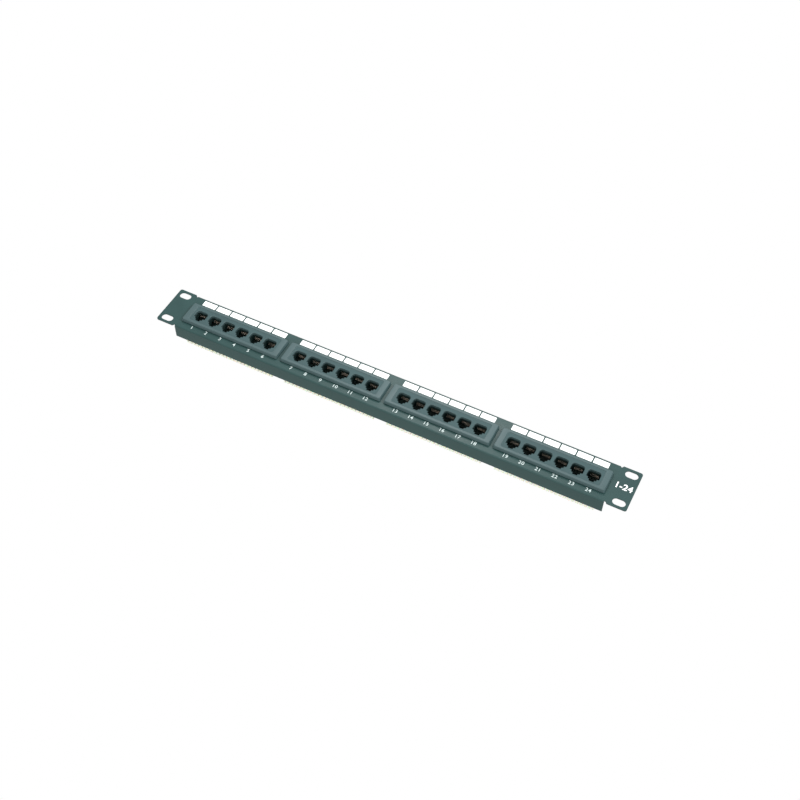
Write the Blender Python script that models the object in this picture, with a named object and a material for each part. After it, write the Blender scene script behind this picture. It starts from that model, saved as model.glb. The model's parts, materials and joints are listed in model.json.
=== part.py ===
"""Rack patch panel, one rack unit high, with four modules of six sockets.

Frame: metres, +X along the panel to the right as seen from the front, +Y from the front
towards the back, +Z up. The origin is midway between the two ears, on the plane of their
rear faces, which is the plane that lies against the rack's rails.
"""
import math

import bmesh
import bpy
from mathutils import Vector

MM = 0.001
GAP = 0.3 * MM
OVERCUT = 1.0 * MM

# Steel front: the width, hole spacing and height of a one-unit 19 inch panel.
PANEL_W = 482.6 * MM
EAR_H = 43.7 * MM
STEEL = 1.2 * MM
FACE_Y = -STEEL
BODY_W = 441.6 * MM
BODY_H = 43.0 * MM
BEND_R = 1.5 * MM
BEND_STEPS = 4
FLANGE_DEPTH = 15.1 * MM
RELIEF_W = 2.4 * MM
EAR_CORNER_R = 2.0 * MM
SLOT_SPACING_X = 465.1 * MM
SLOT_SPACING_Z = 31.75 * MM
SLOT_W = 12.0 * MM
SLOT_H = 7.2 * MM

# Four modules of six ports, a little below the panel's middle.
MODULES = 4
MODULE_PITCH = 109.8 * MM
PORTS = 6
PORT_PITCH = 15.4 * MM
PORT_W = 12.2 * MM
PORT_TOP = 3.8 * MM
PORT_SHOULDER = -4.5 * MM
PORT_LEDGE = -6.6 * MM
PORT_BOTTOM = -8.4 * MM
MOUTH_CORNER_R = 2.9 * MM
SOCKET_CORNER_R = 1.5 * MM
LEDGE_HALF_W = 4.1 * MM
KEYWAY_HALF_W = 2.4 * MM

# Bezel: a drafted frame on the front of the steel, with a shallow recess round the ports.
BEZEL_W = 106.6 * MM
BEZEL_H = 24.5 * MM
BEZEL_Z = -1.45 * MM
BEZEL_OUT = 3.6 * MM
BEZEL_DRAFT = 0.9 * MM
BEZEL_R = 1.5 * MM
RIM_SIDE = 5.3 * MM
RIM_TOP = 2.3 * MM
RECESS = 0.6 * MM
RECESS_DRAFT = 0.4 * MM
BEZEL_BACK = FACE_Y - GAP
BEZEL_FRONT = FACE_Y - BEZEL_OUT
RECESS_FLOOR = BEZEL_FRONT + RECESS

# Jack housing: a block through the steel's window, with a lug behind the steel at each end.
HOUSING_W = 94.6 * MM
HOUSING_TOP = 5.9 * MM
HOUSING_BOTTOM = -9.7 * MM
HOUSING_BACK = 8.8 * MM
CAVITY_BACK = HOUSING_BACK - 1.2 * MM
CAVITY_CLEARANCE = 0.1 * MM
CEILING_Z = 5.0 * MM
CEILING_W = 8.8 * MM
CEILING_FRONT = 0.2 * MM
LUG_REACH = 53.3 * MM
LUG_H = 8.0 * MM
WINDOW_CLEARANCE = 0.5 * MM
WINDOW_R = 1.0 * MM

# Spring contacts: eight wires on one bar, turning about the bar.
WIRES = 8
WIRE_PITCH = 1.02 * MM
WIRE_W = 0.46 * MM
WIRE_T = 0.4 * MM
BAR_W = 8.0 * MM
BAR_Y = 1.9 * MM
BAR_Z = 4.1 * MM
BAR_T = 0.8 * MM
BAR_BACK_T = 0.88 * MM
WIRE_TIP_Y = 6.4 * MM
WIRE_TIP_Z = 0.5 * MM

# Circuit board and the punch-down blocks behind it.
BOARD_W = 107.0 * MM
BOARD_H = 35.0 * MM
BOARD_T = 1.6 * MM
BOARD_FRONT = HOUSING_BACK + GAP
BOARD_BACK = BOARD_FRONT + BOARD_T
IDC_SLOTS = 24
IDC_PITCH = 4.0 * MM
IDC_SLOT_W = 1.0 * MM
IDC_FRONT = BOARD_BACK + GAP
IDC_BACK = 25.0 * MM
IDC_FLOOR = 16.5 * MM
IDC_POINT = 1.6 * MM
IDC_TIP_W = 0.5 * MM
IDC_H = 10.0 * MM
IDC_OUTER_Z = 17.4 * MM

# Screws: from behind, through the board, the housing's lug and the steel, into the bezel.
SCREW_X = 51.1 * MM
SCREW_Z = -2.0 * MM
SCREW_R = 1.15 * MM
SCREW_HOLE_R = 1.45 * MM
SCREW_HEAD_R = 2.4 * MM
SCREW_HEAD_H = 1.7 * MM
SCREW_HEAD_EDGE_H = 0.94 * MM
SCREW_CROWN_R = 1.7 * MM
SCREW_TIP = BEZEL_BACK - 1.8 * MM
SCREW_POINT_H = 1.2 * MM
SCREW_POINT_R = 0.3 * MM
RECESS_ARM = 2.6 * MM
RECESS_ARM_W = 0.6 * MM
RECESS_ARM_DEPTH = 0.9 * MM
HOLE_STEPS = 16


def clear_scene():
    for thing in list(bpy.data.objects):
        bpy.data.objects.remove(thing)


def make_material(name, colour, roughness, metallic=0.0):
    """A Principled material from a linear RGB colour."""
    material = bpy.data.materials.new(name)
    material.use_nodes = True
    shader = material.node_tree.nodes["Principled BSDF"]
    shader.inputs["Base Color"].default_value = (*colour, 1.0)
    shader.inputs["Roughness"].default_value = roughness
    shader.inputs["Metallic"].default_value = metallic
    return material


def make_object(name, mesh_data, material=None):
    """Turns a bmesh into a named object with its faces pointing out."""
    bmesh.ops.recalc_face_normals(mesh_data, faces=mesh_data.faces)
    mesh = bpy.data.meshes.new(name)
    mesh_data.to_mesh(mesh)
    mesh_data.free()
    if material:
        mesh.materials.append(material)
    thing = bpy.data.objects.new(name, mesh)
    bpy.context.collection.objects.link(thing)
    return thing


def add_loft(mesh_data, loops):
    """Adds a closed body through loops of points that all have the same length."""
    rings = [[mesh_data.verts.new(point) for point in loop] for loop in loops]
    for near, far in zip(rings, rings[1:]):
        for i, start in enumerate(near):
            j = (i + 1) % len(near)
            mesh_data.faces.new((start, near[j], far[j], far[i]))
    mesh_data.faces.new(reversed(rings[0]))
    mesh_data.faces.new(rings[-1])


def at_depth(outline, y):
    """An outline of (x, z) points as a loop in the plane at depth y."""
    return [Vector((x, y, z)) for x, z in outline]


def arc(cx, cz, radius, start, end, steps):
    """Points on an arc from start to end, in degrees, both ends included."""
    angles = [math.radians(start + (end - start) * i / steps) for i in range(steps + 1)]
    return [(cx + radius * math.cos(a), cz + radius * math.sin(a)) for a in angles]


def circle(cx, cz, radius, steps=HOLE_STEPS):
    return arc(cx, cz, radius, 0.0, 360.0 * (steps - 1) / steps, steps - 1)


def rounded_box(x0, x1, z0, z1, radius, steps=3):
    """Outline of a rectangle with round corners."""
    corners = [(x1 - radius, z1 - radius, 0), (x0 + radius, z1 - radius, 90)]
    corners += [(x0 + radius, z0 + radius, 180), (x1 - radius, z0 + radius, 270)]
    return [p for cx, cz, a in corners for p in arc(cx, cz, radius, a, a + 90, steps)]


def box(x0, x1, z0, z1):
    return [(x1, z1), (x0, z1), (x0, z0), (x1, z0)]


def cut(thing, name, bodies):
    """Cuts closed bodies, each a list of loops, out of an object with one Boolean."""
    mesh_data = bmesh.new()
    for loops in bodies:
        add_loft(mesh_data, loops)
    cutter = make_object(name, mesh_data)
    cutter.hide_render = True
    cutter.display_type = "WIRE"
    boolean = thing.modifiers.new(name, "BOOLEAN")
    boolean.operation = "DIFFERENCE"
    boolean.solver = "EXACT"
    boolean.object = cutter


def module_x(module):
    return (module - (MODULES - 1) / 2) * MODULE_PITCH


def port_x(port):
    """A port's place along its module."""
    return (port - (PORTS - 1) / 2) * PORT_PITCH


def port_outline(cx, corner, clearance=0.0):
    """The socket's outline: round top corners, then two steps down to the latch keyway."""
    half = PORT_W / 2 + clearance
    step = LEDGE_HALF_W + clearance
    key = KEYWAY_HALF_W + clearance
    top = PORT_TOP + clearance
    centre_x, centre_z = half - corner, top - corner
    right = arc(centre_x, centre_z, corner, 0, 90, 3)
    left = arc(-centre_x, centre_z, corner, 90, 180, 3)
    lower = [(-half, PORT_SHOULDER), (-step, PORT_SHOULDER), (-step, PORT_LEDGE), (-key, PORT_LEDGE)]
    lower += [(-key, PORT_BOTTOM - clearance)]
    outline = right + left + lower + [(-x, z) for x, z in reversed(lower)]
    return [(cx + x, z) for x, z in outline]


def screw_places(cx):
    return [(cx - SCREW_X, SCREW_Z), (cx + SCREW_X, SCREW_Z)]


def window_outline(cx):
    side = HOUSING_W / 2 + WINDOW_CLEARANCE
    low = HOUSING_BOTTOM - WINDOW_CLEARANCE
    high = HOUSING_TOP + WINDOW_CLEARANCE
    return rounded_box(cx - side, cx + side, low, high, WINDOW_R, 2)


def ear_outline(side):
    """One ear of the flat blank, from the fold's lower end round to its upper end."""
    inner = BODY_W / 2
    fold_z = BODY_H / 2 - BEND_R
    outer = PANEL_W / 2
    high = EAR_H / 2
    radius = EAR_CORNER_R
    upper = [(inner, fold_z), (inner + RELIEF_W / 2, fold_z), (inner + RELIEF_W, high)]
    upper += list(reversed(arc(outer - radius, high - radius, radius, 0, 90, 3)))
    points = [(x, -z) for x, z in upper] + [(x, z) for x, z in reversed(upper)]
    return [(side * x, z) for x, z in points]


def slot_outline(cx, cz):
    radius = SLOT_H / 2
    reach = (SLOT_W - SLOT_H) / 2
    right = arc(cx + reach, cz, radius, -90, 90, 8)
    return right + arc(cx - reach, cz, radius, 90, 270, 8)


def build_front_panel(material):
    """Folded sheet: a flat blank with its holes, two bends and two flanges, made solid."""
    mesh_data = bmesh.new()

    def closed_edges(outline):
        ring = [mesh_data.verts.new(point) for point in at_depth(outline, FACE_Y)]
        return [mesh_data.edges.new(pair) for pair in zip(ring, ring[1:] + ring[:1])]

    right = ear_outline(1)
    blank = right + list(reversed(ear_outline(-1)))
    edges = closed_edges(blank)
    upper_fold = edges[len(right) - 1]
    lower_fold = edges[-1]
    for sx in (-1, 1):
        for sz in (-1, 1):
            edges += closed_edges(slot_outline(sx * SLOT_SPACING_X / 2, sz * SLOT_SPACING_Z / 2))
    for module in range(MODULES):
        edges += closed_edges(window_outline(module_x(module)))
        for x, z in screw_places(module_x(module)):
            edges += closed_edges(circle(x, z, SCREW_HOLE_R))
    bmesh.ops.triangle_fill(mesh_data, edges=edges, use_beauty=True)
    for fold, up in ((upper_fold, 1), (lower_fold, -1)):
        centre_z = up * (BODY_H / 2 - BEND_R)
        steps = [math.radians(90 * (i + 1) / BEND_STEPS) for i in range(BEND_STEPS)]
        path = [(FACE_Y + BEND_R * (1 - math.cos(a)), centre_z + up * BEND_R * math.sin(a)) for a in steps]
        path.append((FACE_Y + FLANGE_DEPTH, up * BODY_H / 2))
        near = list(fold.verts)
        for y, z in path:
            far = [mesh_data.verts.new((v.co.x, y, z)) for v in near]
            mesh_data.faces.new((near[0], near[1], far[1], far[0]))
            near = far
    bmesh.ops.recalc_face_normals(mesh_data, faces=mesh_data.faces)
    mesh_data.faces.ensure_lookup_table()
    front = max(mesh_data.faces, key=lambda face: abs(face.normal.y))
    if front.normal.y > 0:
        bmesh.ops.reverse_faces(mesh_data, faces=mesh_data.faces)
    mesh = bpy.data.meshes.new("front_panel")
    mesh_data.to_mesh(mesh)
    mesh_data.free()
    mesh.materials.append(material)
    panel = bpy.data.objects.new("front_panel", mesh)
    bpy.context.collection.objects.link(panel)
    solid = panel.modifiers.new("sheet_thickness", "SOLIDIFY")
    solid.thickness = STEEL
    solid.offset = -1.0
    solid.use_even_offset = True


def build_bezel(module, material):
    """Drafted frame with a recess, six port openings and two blind screw holes behind."""
    cx = module_x(module)
    low, high = BEZEL_Z - BEZEL_H / 2, BEZEL_Z + BEZEL_H / 2

    def frame(inset_x, inset_z, y, radius):
        side = BEZEL_W / 2 - inset_x
        return at_depth(rounded_box(cx - side, cx + side, low + inset_z, high - inset_z, radius), y)

    loops = [frame(0.0, 0.0, BEZEL_BACK, BEZEL_R)]
    loops.append(frame(BEZEL_DRAFT, BEZEL_DRAFT, BEZEL_FRONT, BEZEL_R))
    side, top = BEZEL_DRAFT + RIM_SIDE, BEZEL_DRAFT + RIM_TOP
    loops.append(frame(side, top, BEZEL_FRONT, BEZEL_R))
    loops.append(frame(side + RECESS_DRAFT, top + RECESS_DRAFT, RECESS_FLOOR, BEZEL_R))
    mesh_data = bmesh.new()
    add_loft(mesh_data, loops)
    name = f"module_{module + 1}_bezel"
    bezel = make_object(name, mesh_data, material)
    depths = (RECESS_FLOOR - GAP, BEZEL_BACK + GAP)
    mouths = [port_outline(cx + port_x(port), MOUTH_CORNER_R) for port in range(PORTS)]
    bodies = [[at_depth(outline, y) for y in depths] for outline in mouths]
    depths = (SCREW_TIP - GAP, BEZEL_BACK + GAP)
    bodies += [[at_depth(circle(x, z, SCREW_HOLE_R), y) for y in depths] for x, z in screw_places(cx)]
    cut(bezel, f"{name}_cuts", bodies)


def build_housing(module, material):
    """Block of six sockets, open to the front, with a screw lug at each end."""
    cx = module_x(module)
    side, low, high = HOUSING_W / 2, HOUSING_BOTTOM, HOUSING_TOP
    lug_low, lug_high = SCREW_Z - LUG_H / 2, SCREW_Z + LUG_H / 2
    name = f"module_{module + 1}_jack_housing"
    mesh_data = bmesh.new()
    reach = LUG_REACH
    add_loft(mesh_data, [at_depth(box(cx - reach, cx + reach, low, high), y) for y in (FACE_Y, HOUSING_BACK)])
    housing = make_object(name, mesh_data, material)
    fronts, belows, aboves = [], [], []
    for end in (-1, 1):
        near, far = sorted((cx + end * side, cx + end * (reach + OVERCUT)))
        depths = (FACE_Y - OVERCUT, GAP)
        fronts.append([at_depth(box(near, far, low - OVERCUT, high + OVERCUT), y) for y in depths])
        depths = (GAP - OVERCUT / 2, HOUSING_BACK + OVERCUT)
        belows.append([at_depth(box(near, far, low - OVERCUT, lug_low), y) for y in depths])
        aboves.append([at_depth(box(near, far, lug_high, high + OVERCUT), y) for y in depths])
    cut(housing, f"{name}_front_cuts", fronts)
    cut(housing, f"{name}_lower_cuts", belows)
    cut(housing, f"{name}_upper_cuts", aboves)
    depths = (FACE_Y - OVERCUT, CAVITY_BACK)
    sockets = []
    for port in range(PORTS):
        outline = port_outline(cx + port_x(port), SOCKET_CORNER_R, CAVITY_CLEARANCE)
        sockets.append([at_depth(outline, y) for y in depths])
    cut(housing, f"{name}_sockets", sockets)
    ceilings = []
    for port in range(PORTS):
        x = cx + port_x(port)
        outline = box(x - CEILING_W / 2, x + CEILING_W / 2, PORT_TOP - OVERCUT, CEILING_Z)
        ceilings.append([at_depth(outline, y) for y in (CEILING_FRONT, CAVITY_BACK)])
    cut(housing, f"{name}_ceilings", ceilings)
    depths = (GAP - OVERCUT, HOUSING_BACK + OVERCUT)
    holes = [[at_depth(circle(x, z, SCREW_HOLE_R), y) for y in depths] for x, z in screw_places(cx)]
    cut(housing, f"{name}_screw_holes", holes)


def contact_mesh(material):
    """Comb of slanting wires behind a bar, with the bar's axis on the mesh's own X axis."""
    mesh_data = bmesh.new()
    wire_edges = [(i - (WIRES - 1) / 2) * WIRE_PITCH + s * WIRE_W / 2 for i in range(WIRES) for s in (-1, 1)]
    xs = [-BAR_W / 2, *wire_edges, BAR_W / 2]
    half = BAR_T / 2
    slant = Vector((0.0, WIRE_TIP_Y - BAR_Y, WIRE_TIP_Z - BAR_Z)).normalized()
    across = Vector((0.0, -slant.z, slant.y))
    root = slant * half
    above = across * BAR_BACK_T / 2 - slant * half
    below = -across * half - slant * half
    section = [root + across * WIRE_T / 2, above, below, root - across * WIRE_T / 2]
    rings = [[mesh_data.verts.new((x, p.y, p.z)) for p in section] for x in xs]
    tip = Vector((0.0, WIRE_TIP_Y - BAR_Y, WIRE_TIP_Z - BAR_Z))
    for k, (near, far) in enumerate(zip(rings, rings[1:])):
        for i in range(3):
            mesh_data.faces.new((near[i], near[i + 1], far[i + 1], far[i]))
        if k % 2 == 0:
            mesh_data.faces.new((near[3], near[0], far[0], far[3]))
            continue
        ends = []
        for vert, side in ((near[0], 1), (far[0], 1), (far[3], -1), (near[3], -1)):
            place = tip + across * side * WIRE_T / 2
            ends.append(mesh_data.verts.new((vert.co.x, place.y, place.z)))
        roots = [near[0], far[0], far[3], near[3]]
        for i in range(4):
            j = (i + 1) % 4
            mesh_data.faces.new((roots[i], roots[j], ends[j], ends[i]))
        mesh_data.faces.new(ends)
    mesh_data.faces.new(rings[0])
    mesh_data.faces.new(reversed(rings[-1]))
    bmesh.ops.recalc_face_normals(mesh_data, faces=mesh_data.faces)
    mesh = bpy.data.meshes.new("port_contacts")
    mesh_data.to_mesh(mesh)
    mesh_data.free()
    mesh.materials.append(material)
    return mesh


def build_contacts(material):
    """One comb of contacts for each port, with its origin on its hinge axis."""
    mesh = contact_mesh(material)
    for module in range(MODULES):
        for port in range(PORTS):
            name = f"port_{module * PORTS + port + 1:02d}_contacts"
            contacts = bpy.data.objects.new(name, mesh)
            contacts.location = (module_x(module) + port_x(port), BAR_Y, BAR_Z)
            bpy.context.collection.objects.link(contacts)


def build_board(module, material):
    cx = module_x(module)
    mesh_data = bmesh.new()
    outline = box(cx - BOARD_W / 2, cx + BOARD_W / 2, -BOARD_H / 2, BOARD_H / 2)
    add_loft(mesh_data, [at_depth(outline, y) for y in (BOARD_FRONT, BOARD_BACK)])
    name = f"module_{module + 1}_circuit_board"
    board = make_object(name, mesh_data, material)
    depths = (BOARD_FRONT - GAP, BOARD_BACK + GAP)
    holes = [[at_depth(circle(x, z, SCREW_HOLE_R), y) for y in depths] for x, z in screw_places(cx)]
    cut(board, f"{name}_holes", holes)


def build_idc_block(module, row, material):
    """Punch-down block: a base with pointed pillars, one wire slot between each two."""
    cx = module_x(module)
    first = cx - IDC_SLOTS / 2 * IDC_PITCH
    profile = [(first, IDC_FRONT)]
    for pillar in range(IDC_SLOTS + 1):
        centre = first + pillar * IDC_PITCH
        left = centre - (IDC_PITCH - IDC_SLOT_W) / 2
        right = centre + (IDC_PITCH - IDC_SLOT_W) / 2
        shoulder = IDC_BACK - IDC_POINT
        tip = IDC_TIP_W / 2
        if pillar == 0:
            profile += [(centre, IDC_BACK), (centre + tip, IDC_BACK)]
            profile += [(right, shoulder), (right, IDC_FLOOR)]
        elif pillar == IDC_SLOTS:
            profile += [(left, IDC_FLOOR), (left, shoulder)]
            profile += [(centre - tip, IDC_BACK), (centre, IDC_BACK)]
        else:
            profile += [(left, IDC_FLOOR), (left, shoulder), (centre - tip, IDC_BACK)]
            profile += [(centre + tip, IDC_BACK), (right, shoulder), (right, IDC_FLOOR)]
    profile.append((first + IDC_SLOTS * IDC_PITCH, IDC_FRONT))
    side = 1 if row == "upper" else -1
    heights = (side * (IDC_OUTER_Z - IDC_H), side * IDC_OUTER_Z)
    mesh_data = bmesh.new()
    add_loft(mesh_data, [[Vector((x, y, z)) for x, y in profile] for z in heights])
    make_object(f"module_{module + 1}_idc_block_{row}", mesh_data, material)


def screw_mesh(material):
    """Pan-head screw pointing along -Y from the underside of its head at the origin."""
    length = BOARD_BACK + GAP - SCREW_TIP
    profile = [(-length, SCREW_POINT_R), (-length + SCREW_POINT_H, SCREW_R), (0.0, SCREW_R)]
    profile += [(0.0, SCREW_HEAD_R), (SCREW_HEAD_EDGE_H, SCREW_HEAD_R), (SCREW_HEAD_H, SCREW_CROWN_R)]
    mesh_data = bmesh.new()
    add_loft(mesh_data, [at_depth(circle(0.0, 0.0, r, 12), y) for y, r in profile])
    return make_object("screw_form", mesh_data, material)


def build_screw(name, x, z, material):
    """A pan-head screw with a cross recess."""
    screw = screw_mesh(material)
    screw.name = name
    head = BOARD_BACK + GAP
    screw.location = (x, head, z)
    depths = (head + SCREW_HEAD_H - RECESS_ARM_DEPTH, head + SCREW_HEAD_H + GAP)
    arm, half = RECESS_ARM / 2, RECESS_ARM_W / 2
    cross = [(arm, half), (half, half), (half, arm), (-half, arm), (-half, half), (-arm, half)]
    cross += [(-px, -pz) for px, pz in cross]
    cut(screw, f"{name}_recess", [[at_depth([(x + px, z + pz) for px, pz in cross], y) for y in depths]])


def main():
    clear_scene()
    steel = make_material("powder_coated_steel", (0.075, 0.1, 0.11), 0.55)
    bezel_plastic = make_material("bezel_abs", (0.1, 0.14, 0.14), 0.5)
    housing_plastic = make_material("housing_polycarbonate", (0.015, 0.02, 0.022), 0.45)
    gold = make_material("gold_plated_bronze", (0.8, 0.55, 0.22), 0.3, 1.0)
    board_laminate = make_material("board_laminate", (0.02, 0.12, 0.05), 0.5)
    ivory = make_material("idc_ivory_polycarbonate", (0.78, 0.76, 0.66), 0.45)
    zinc = make_material("zinc_plated_steel", (0.55, 0.55, 0.56), 0.35, 1.0)

    build_front_panel(steel)
    for module in range(MODULES):
        build_bezel(module, bezel_plastic)
        build_housing(module, housing_plastic)
        build_board(module, board_laminate)
        build_idc_block(module, "upper", ivory)
        build_idc_block(module, "lower", ivory)
        for side, (x, z) in zip(("left", "right"), screw_places(module_x(module))):
            build_screw(f"module_{module + 1}_screw_{side}", x, z, zinc)
    build_contacts(gold)


main()
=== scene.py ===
"""Looks of a one-unit rack patch panel: coated steel, sockets, contacts, print and studio.

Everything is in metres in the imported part's frame: +X along the panel to the right as seen
from the front, +Y from the front towards the back, +Z up. Meshes that repeat are made once,
about their module's, port's or screw's own centre, and are placed where the frame says.
"""
import json
import math

import bmesh
import bpy
from bpy.props import FloatProperty, FloatVectorProperty, PointerProperty, StringProperty
from mathutils import Matrix, Vector


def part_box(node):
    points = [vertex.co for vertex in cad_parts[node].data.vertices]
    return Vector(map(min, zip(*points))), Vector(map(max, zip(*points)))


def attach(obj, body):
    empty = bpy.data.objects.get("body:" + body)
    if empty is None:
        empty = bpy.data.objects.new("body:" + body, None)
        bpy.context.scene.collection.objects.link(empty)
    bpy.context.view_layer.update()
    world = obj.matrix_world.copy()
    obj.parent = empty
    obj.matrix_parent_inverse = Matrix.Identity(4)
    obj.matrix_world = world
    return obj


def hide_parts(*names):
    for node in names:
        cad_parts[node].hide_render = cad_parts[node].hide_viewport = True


bl_info = {
    "name": "Rack Patch Panel",
    "version": (1, 0, 0),
    "blender": (4, 5, 0),
    "location": "View3D > Sidebar > Patch Panel",
    "description": "Surfaces, print and studio for a one-unit rack patch panel",
    "category": "Object",
}

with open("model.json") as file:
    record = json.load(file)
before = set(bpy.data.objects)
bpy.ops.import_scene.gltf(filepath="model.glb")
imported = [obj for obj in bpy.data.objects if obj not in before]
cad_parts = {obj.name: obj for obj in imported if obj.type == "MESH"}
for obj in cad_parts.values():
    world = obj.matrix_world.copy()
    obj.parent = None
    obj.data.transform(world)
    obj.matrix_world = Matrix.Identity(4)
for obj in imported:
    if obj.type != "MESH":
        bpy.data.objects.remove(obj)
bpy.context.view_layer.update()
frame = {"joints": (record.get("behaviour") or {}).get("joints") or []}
MM = 0.001
PANEL = "panel"

# Places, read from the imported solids.
STEEL_LOW, STEEL_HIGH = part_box("front_panel")
BEZEL_LOW, BEZEL_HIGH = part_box("module_1_bezel")
HOUSING_LOW, HOUSING_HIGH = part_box("module_1_jack_housing")
BOARD_LOW, BOARD_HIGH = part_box("module_1_circuit_board")
IDC_LOW, IDC_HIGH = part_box("module_1_idc_block_upper")
SCREW_LOW, SCREW_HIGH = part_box("module_1_screw_left")
MODULE_X = [sum(corner.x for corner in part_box(f"module_{n}_bezel")) / 2 for n in (1, 2, 3, 4)]
HINGES = [Vector(joint["pos_m"]) for joint in frame["joints"]]
PORTS = len(HINGES) // len(MODULE_X)
PORT_X = [hinge.x - MODULE_X[0] for hinge in HINGES[:PORTS]]
FACE_Y = STEEL_LOW.y

# How far a printed or soldered piece is sunk into what it lies on.
SUNK = 0.01 * MM

# Folded steel sheet.
STEEL = 1.2 * MM
BODY_W = 441.6 * MM
BODY_H = 43.0 * MM
BEND_R = 1.5 * MM
BEND_STEPS = 8
NOTCH_W = 2.4 * MM
NOTCH_R = 0.5 * MM
EAR_CORNER_R = 2.0 * MM
RACK_SLOT_X = 232.55 * MM
RACK_SLOT_Z = 15.875 * MM
RACK_SLOT_W = 12.0 * MM
RACK_SLOT_H = 7.2 * MM
SLOT_END_SHARE = 0.999
WINDOW_CLEARANCE = 0.5 * MM
WINDOW_R = 1.0 * MM

# Bezel: drafted rim round a shallow recess.
BEZEL_R = 1.5 * MM
BEZEL_DRAFT = 0.9 * MM
RIM_SIDE = 5.3 * MM
RIM_TOP = 2.3 * MM
RECESS = 0.6 * MM
RECESS_DRAFT = 0.4 * MM
# A small step at the foot of the rim keeps a dark line between the bezel and the steel.
SHADOW_GAP = 0.4 * MM
SHADOW_GAP_DEPTH = 0.9 * MM

# Socket mouth, from its round top corners down to the latch keyway.
MOUTH_HALF_W = 6.1 * MM
MOUTH_TOP = 3.8 * MM
MOUTH_SHOULDER = -4.5 * MM
MOUTH_LEDGE = -6.6 * MM
MOUTH_BOTTOM = -8.4 * MM
LEDGE_HALF_W = 4.1 * MM
KEYWAY_HALF_W = 2.4 * MM
MOUTH_TOP_R = 2.9 * MM
SOCKET_TOP_R = 1.5 * MM
MOUTH_R = 0.35 * MM

# Jack housing behind the bezel.
HOUSING_HALF_W = 47.3 * MM
CAVITY_CLEARANCE = 0.1 * MM
CAVITY_BACK = HOUSING_HIGH.y - 1.2 * MM
CEILING_Z = 5.0 * MM
CEILING_HALF_W = 4.4 * MM
CEILING_FRONT = 0.2 * MM
LUG_FRONT = 0.3 * MM
LUG_LOW = -6.0 * MM
LUG_HIGH = 2.0 * MM
GUIDE_W = 0.34 * MM
GUIDE_FRONT = 5.4 * MM
GUIDE_LOW = -0.6 * MM

# Spring contacts, bent from round wire about the hinge line.
WIRES = 8
WIRE_PITCH = 1.02 * MM
WIRE_R = 0.2 * MM
WIRE_SIDES = 8
HOOK_R = 0.6 * MM
HOOK_START = math.radians(70)
HOOK_STEPS = 12
# Start and end of the gold, as shares of the way from the hinge line to a wire's tip. The pale gold
# band is partly a painted highlight line, and the dark nickel on the rest of each wire is partly
# painted shade.
GOLD_HIGHLIGHT_BAND = (0.14, 0.36)
TIP = Vector((0.0, 4.5 * MM, -3.6 * MM))

# Circuit board, and the radius and rise of each ring of a solder joint.
BOARD_R = 1.0 * MM
SOLDER_ROWS = (2.2 * MM, 4.7 * MM)
SOLDER_SIDES = 12
SOLDER_RINGS = (
    (0.62 * MM, -SUNK),
    (0.55 * MM, 0.12 * MM),
    (0.34 * MM, 0.4 * MM),
    (0.24 * MM, 0.62 * MM),
    (0.23 * MM, 1.1 * MM),
    (0.1 * MM, 1.22 * MM),
)

# Punch-down blocks, with pillars that come to a point, and their blades.
IDC_SLOTS = 24
IDC_PITCH = (IDC_HIGH.x - IDC_LOW.x) / IDC_SLOTS
IDC_SLOT_W = 1.0 * MM
IDC_FLOOR = 16.5 * MM
IDC_POINT = 1.6 * MM
IDC_TIP_W = 0.5 * MM
IDC_SIDE_SLOPE = 1.3 * MM
IDC_EDGE_R = 0.12 * MM
PRONG_W = 0.33 * MM
PRONG_T = 0.4 * MM
PRONG_TOP = 22.2 * MM
# A prong's outer edge goes into the pillar beside it, and its top is half as wide as its foot.
PRONG_SINK = 1.1
PRONG_TAPER = 0.5

# Screws, from behind into the bezels.
SCREW_HOLE_R = 1.45 * MM
SCREW_R = 1.15 * MM
SCREW_HEAD_R = 2.4 * MM
SCREW_HEAD_H = 1.7 * MM
SCREW_CROWN_R = 1.55 * MM
SCREW_EDGE_R = 0.15 * MM
SCREW_DOME_R = 0.8 * MM
SCREW_POINT_R = 0.3 * MM
SCREW_POINT_H = 1.2 * MM
CROSS_ARM = 1.3 * MM
CROSS_HALF_W = 0.3 * MM
CROSS_DEPTH = 0.9 * MM
CROSS_TAPER = 0.6

# Print. DIGIT_SHARE is a digit's height as a share of the built-in font's size, and a weight is
# how far each stroke's edge moves out.
DIGIT_SHARE = 0.73
DIGIT_SPACING = 1.12
DIGIT_WEIGHT = 0.02 * MM
MARK_SPACING = 1.05
MARK_WEIGHT = 0.16 * MM
BOX_CORNER_R = 0.5 * MM

# Studio. A light is its name, place, target, size in metres and power in watts.
FLOOR_SIZE = 60.0
FLOOR_Z = -1.0
WHITE = (1.0, 1.0, 1.0, 1.0)
LIGHTS = (
    ("key", (-0.13, -0.64, 0.45), (0.05, 0.0, 0.0), 0.3, 3.0),
    ("fill", (-0.12, -0.6, -0.8), (0.06, 0.0, 0.0), 0.3, 2.2),
    ("side", (2.2, -2.2, 0.5), (0.0, 0.0, 0.0), 0.6, 50.0),
)
# Camera, with its turns about X, Y and Z in degrees, and its lens and sensor in millimetres.
CAMERA_PLACE = (0.32049, -0.8723, -0.61712)
CAMERA_TURNS = (128.4673, -27.0961, -0.5004)
CAMERA_LENS = 54.365
CAMERA_SENSOR = 36.0


# ------------------------------------------------------------------ settings


def linear(hex_colour):
    """An sRGB hex colour as linear RGBA."""
    parts = [int(hex_colour[i : i + 2], 16) / 255 for i in (0, 2, 4)]
    return (*[c / 12.92 if c <= 0.04045 else ((c + 0.055) / 1.055) ** 2.4 for c in parts], 1.0)


def colour_setting(name, description, hex_colour):
    return FloatVectorProperty(
        name=name, description=description, default=linear(hex_colour), size=4, subtype="COLOR"
    )


def length_setting(name, description, default):
    return FloatProperty(name=name, description=description, default=default, unit="LENGTH")


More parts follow.
